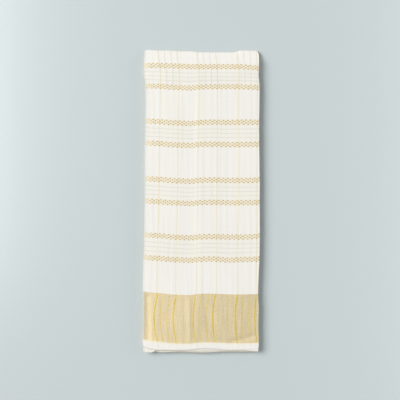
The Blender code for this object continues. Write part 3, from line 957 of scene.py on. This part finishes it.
def zariCloth():
    w = Weave("gold zari", zariLook)
    grains = w.grains
    place = w.every(w.u, warpLines["start"] - warpLines["lead"], warpLines["period"])
    group = w.within(place, warpLines["lead"] + warpLines["strong"][1] / 2, *zariLook["groupWidth"])
    halo = stripes(w, place, "strong", *zariLook["haloWidth"])
    core = stripes(w, place, "strong", *zariLook["strongWidth"])
    threads = stripes(w, place, "thin", *zariLook["thinWidth"])
    # painted shine: the gold lines lighter by fits and starts
    paintedShine = w.shade(grains["patchy"], "paintedShine")
    speckle = w.shade(grains["speckle"], "speckle")
    colour = w.cover(zariLook["base"], "group", group)
    colour = w.cover(colour, "thin", w.calc("MULTIPLY", threads, paintedShine))
    colour = w.cover(colour, "halo", halo)
    colour = w.cover(colour, "strong", w.calc("MULTIPLY", core, paintedShine))
    # painted highlight along the right fold
    colour = w.cover(colour, "rightRimHighlight", w.shade(w.side, "rightRimHighlight"))
    # painted shade along the left fold
    colour = w.cover(colour, "leftRimShade", w.shade(w.side, "leftRimShade"))
    colour = w.shaded(colour, [
        w.shade(grains["streaks"], "streaks"),
        w.shade(grains["wefts"], "wefts"),
        w.calc("MULTIPLY", speckle, w.shade(w.side, "smoother")),
        w.shade(w.u, "across"),
        w.shade(grains["cloud"], "cloud"),
        # painted shade along the left fold
        w.shade(w.side, "leftFoldShade"),
        # a painted sheen beside the left fold
        w.calc("MULTIPLY", w.within(w.side, *zariLook["paintedSheenStripe"]), zariLook["paintedSheenAmount"]),
        w.shade(w.v, "foot"),
    ])
    tangent = w.nodes.new("ShaderNodeTangent")
    tangent.direction_type = "UV_MAP"
    tangent.uv_map = "weave"
    fine = w.bump(weaveHeight(w), "weaveBump")
    ribs = w.calc("ADD", grains["wefts"], core)
    return w.surface({
        "Base Color": colour,
        "Metallic": zariLook["metal"],
        "Roughness": zariLook["rough"],
        "Specular IOR Level": zariLook["specular"],
        "Anisotropic": zariLook["brushed"],
        "Tangent": tangent.outputs["Tangent"],
        "Normal": w.bump(ribs, "ribBump", fine),
    })


cotton = cottonCloth("off white cotton", cottonLook["base"])
# painted shade: the folds under the top strip get a darker, creamier cotton
shadedFoldCotton = cottonCloth("cotton in the folds with painted shade", cottonLook["folded"])
zari = zariCloth()
print("materials ready")

# ---- the stretches, in their order along the cloth
fineness = {
    "fieldStep": 0.0020,  # distances between stations
    "borderStep": 0.0014,
    "hiddenStep": 0.006,
    "footStep": 0.0025,
    "endStep": 0.0012,
    "secondStep": 0.0024,
    "endColumns": 60,
    "secondColumns": 48,
    "fine": (98, 10),  # points across a strip's A side, and across its other side
    "foot": (60, 14),
    "plain": (14, 14),
}
fineSection = stripSection(*fineness["fine"])
footSection = stripSection(*fineness["foot"])
plainSection = stripSection(*fineness["plain"])
clothAt = 0.0  # where on the cloth the next stretch begins
width = 2 * pile["halfWidth"]


def record(piece, slotName, flat, lies, *nodes):
    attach(piece, "root")
    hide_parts(*nodes)
    print(piece.name, len(piece.data.polygons), "faces")


cutEnds = {
    "cloth": 1.2,  # the cloth's whole width
    "fanned": (0.26, 0.40),  # depths in the strip between which the layers begin to fan out
    "topWave": (0.0003, 61, 9),  # size, then radians: a metre across, and out to the selvedge
    "secondWave": (0.0004, 47, 7),
    "corner": 0.0062,  # how far the second end stands out at its left corner
    "cornerAt": (-0.073, -0.087),
}
# across the pile: how far the upper cut edge stands out, and how much further the lower ones do
ends = table("x top fan", [
    (-0.0995, 0.0003, 0.0010),
    (-0.0925, 0.0014, 0.0010),
    (-0.0830, 0.0027, 0.0006),
    (-0.0700, 0.0025, 0.0004),
    (-0.0550, 0.0008, 0.0004),
    (-0.0300, -0.0005, 0.0003),
    (-0.0170, -0.0010, 0.0003),
    (0.0000, -0.0009, 0.0007),
    (0.0160, -0.0010, 0.0010),
    (0.0300, -0.0005, 0.0008),
    (0.0440, 0.0000, 0.0009),
    (0.0745, -0.0008, 0.0014),
    (0.0850, -0.0006, 0.0030),
    (0.0995, -0.0003, 0.0041),
])


def edgeWave(wave, x, section):  # none at the middle of the cloth's width, full at the selvedges
    size, across, outward = wave
    away = np.abs(section[2])[None] / (cutEnds["cloth"] / 2)
    return size * away * np.sin(x * across + outward * away)


def topReach(x, section):  # the lower four layers' cut edges stand out past the upper two's
    depth = 0.5 - section[1][None] / pile["thick"]
    fanned = smoothStep(*cutEnds["fanned"], depth) * readOff(ends, "x", "fan", x)
    return readOff(ends, "x", "top", x) + fanned + edgeWave(cutEnds["topWave"], x, section)


run = straightRun(1, pile["borderFoot"], pile["topEnd"], fineness["endStep"])
length = distances(run)[-1]  # it is laid from the cut end inwards
endStrip = layCutEnd("endStrip", run[::-1], clothAt, topReach, fineness["endColumns"], cotton)
clothAt += length
record(endStrip, "cotton", (cutEnds["cloth"], length), ["second_end"], "end_strip")

run = straightRun(1, pile["borderFoot"], pile["borderHead"], fineness["borderStep"])
zariBorder = layStrip("zariBorder", run, clothAt, fineSection, zari)
length = distances(run)[-1]
clothAt += length
record(zariBorder, "zari", (width, length), ["hidden_strips"], "zari_border")

headNose = (pile["headAxis"], pile["headStretch"])
run = foldRun(1, 8, pile["borderHead"], pile["footSeam"], headNose, fineness["fieldStep"], turns=25)
checkedField = layStrip("checkedField", run, clothAt, fineSection, cotton)
length = distances(run)[-1]
clothAt += length
fieldNodes = ["top_field", "head_fold", "underside_field"]
record(checkedField, "cotton", (width, length), ["hidden_strips"], *fieldNodes)
print("top strip laid", round(clothAt, 3), "m of cloth")

foot = {
    "middleReach": -0.2558,
    "lowerReach": -0.2570,
    "lowerStretch": 1.1,
    "secondEnd": -0.2530,
}


def footNose(first, last, reach, stretch):
    height = abs(stripMiddle(first) - stripMiddle(last)) / 2 + pile["thick"] / 2
    return (reach + height * stretch, stretch)


lowerNose = footNose(5, 8, foot["lowerReach"], foot["lowerStretch"])
middleNose = footNose(3, 4, foot["middleReach"], 1.0)


def joined(name, parts):  # one piece of several stretches
    deselect()
    for part in parts:
        part.select_set(True)
    bpy.context.view_layer.objects.active = parts[0]
    if len(parts) > 1:
        bpy.ops.object.join()
    parts[0].name = name
    parts[0].data.name = name
    return parts[0]


# the folds below the top strip, in the cloth's order; turns: how many stations go round each
footStep, hiddenStep = fineness["footStep"], fineness["hiddenStep"]
folds = table("strips nose step turns section", [
    ((8, 5), lowerNose, footStep, 15, footSection),
    ((5, 4), headNose, hiddenStep, 7, plainSection),
    ((4, 3), middleNose, footStep, 9, footSection),
    ((3, 6), headNose, hiddenStep, 13, plainSection),
    ((6, 7), lowerNose, footStep, 7, plainSection),
    ((7, 2), headNose, hiddenStep, 17, plainSection),
])
parts, lengths = [], []
for fold in folds:
    seam, (first, last) = pile["footSeam"], fold["strips"]
    run = foldRun(first, last, seam, seam, fold["nose"], fold["step"], fold["turns"])
    parts.append(layStrip(f"fold{first}{last}", run, clothAt, fold["section"], shadedFoldCotton))
    lengths.append(distances(run)[-1])
    clothAt += lengths[-1]
outer, hiddenA, middle, hiddenB, inner, hiddenC = parts
outerLength, lengthA, middleLength, lengthB, innerLength, lengthC = lengths

lowerFold = joined("lowerFold", [outer, inner])
record(lowerFold, "cotton", (width, outerLength + innerLength), [], "lower_fold")
middleFold = joined("middleFold", [middle])
record(middleFold, "cotton", (width, middleLength), ["lower_fold"], "middle_fold")
hiddenStrips = joined("foldedStrips", [hiddenA, hiddenB, hiddenC])
record(hiddenStrips, "cotton", (width, lengthA + lengthB + lengthC), ["underside_field"], "hidden_strips")


def secondReach(x, section):  # the other cut end stands out most at its left corner
    corner = cutEnds["corner"] * smoothStep(*cutEnds["cornerAt"], x)
    return corner + edgeWave(cutEnds["secondWave"], x, section)


run = straightRun(2, pile["footSeam"], foot["secondEnd"], fineness["secondStep"])
length = distances(run)[-1]  # the pattern is counted back from this cut
secondEnd = layCutEnd("secondEnd", run, -length, secondReach, fineness["secondColumns"], cotton)
clothAt += length
record(secondEnd, "cotton", (cutEnds["cloth"], length), ["middle_fold"], "second_end")
print("folded pile laid", round(clothAt, 3), "m of cloth")

# ---- floor, light and camera
studio = {
    "floor": tint(200, 209, 210),
    "floorSize": 6.0,
    "floorHeight": -0.0001,  # where the lowest strip rests
    "floorRough": 0.9,
    "floorSpecular": 0.1,
    "sky": tint(232, 236, 240),
    "skyStrength": 0.405,
    "cameraHeight": 2.848,
    "lens": 150.0,
    "sensor": 36,
    "lookAt": (-0.00195, 0.00215),
}
white = (1.0, 1.0, 1.0)
warm = (1.0, 0.985, 0.96)
# the two big lamps face the cloth, the strips light the floor beside it
lamps = table("name place size power colour", [
    ("key", (-10.6, 3.4, 11.2), (10.0, 10.0), 2455.0, warm),
    ("fill", (5.5, 0.3, 2.45), (2.5, 2.5), 42.0, white),
    ("leftStrip", (-0.45, 0.30, 0.15), (0.05, 0.9), 0.44, white),
    ("rightStrip", (0.47, 0.06, 0.15), (0.05, 1.0), 0.24, white),
])

deselect()
bpy.ops.mesh.primitive_plane_add(size=studio["floorSize"], location=(0, 0, studio["floorHeight"]))
floor = bpy.context.object
floor.name = "floor"
floorPaint = bpy.data.materials.new("pale floor")
floorPaint.use_nodes = True
floorShader = floorPaint.node_tree.nodes["Principled BSDF"]
floorShader.inputs["Base Color"].default_value = studio["floor"]
floorShader.inputs["Roughness"].default_value = studio["floorRough"]
floorShader.inputs["Specular IOR Level"].default_value = studio["floorSpecular"]
floor.data.materials.append(floorPaint)

world = bpy.data.worlds.new("studio")
bpy.context.scene.world = world
world.use_nodes = True
background = world.node_tree.nodes["Background"]
background.inputs["Color"].default_value = studio["sky"]
background.inputs["Strength"].default_value = studio["skyStrength"]

for lamp in lamps:
    bpy.ops.object.light_add(type="AREA", location=lamp["place"])
    light = bpy.context.object
    light.name = lamp["name"]
    light.data.shape = "RECTANGLE"
    light.data.size, light.data.size_y = lamp["size"]
    light.data.energy = lamp["power"]
    light.data.color = lamp["colour"]
    if lamp["size"][0] > 1:
        light.rotation_euler = (-Vector(lamp["place"])).to_track_quat("-Z", "Y").to_euler()

bpy.ops.object.camera_add(location=(*studio["lookAt"], studio["cameraHeight"]), rotation=(0, 0, 0))
camera = bpy.context.object
camera.name = "camera"
camera.data.lens = studio["lens"]
camera.data.sensor_width = studio["sensor"]
bpy.context.scene.camera = camera
bpy.context.scene.view_settings.view_transform = "Standard"
print("studio ready")
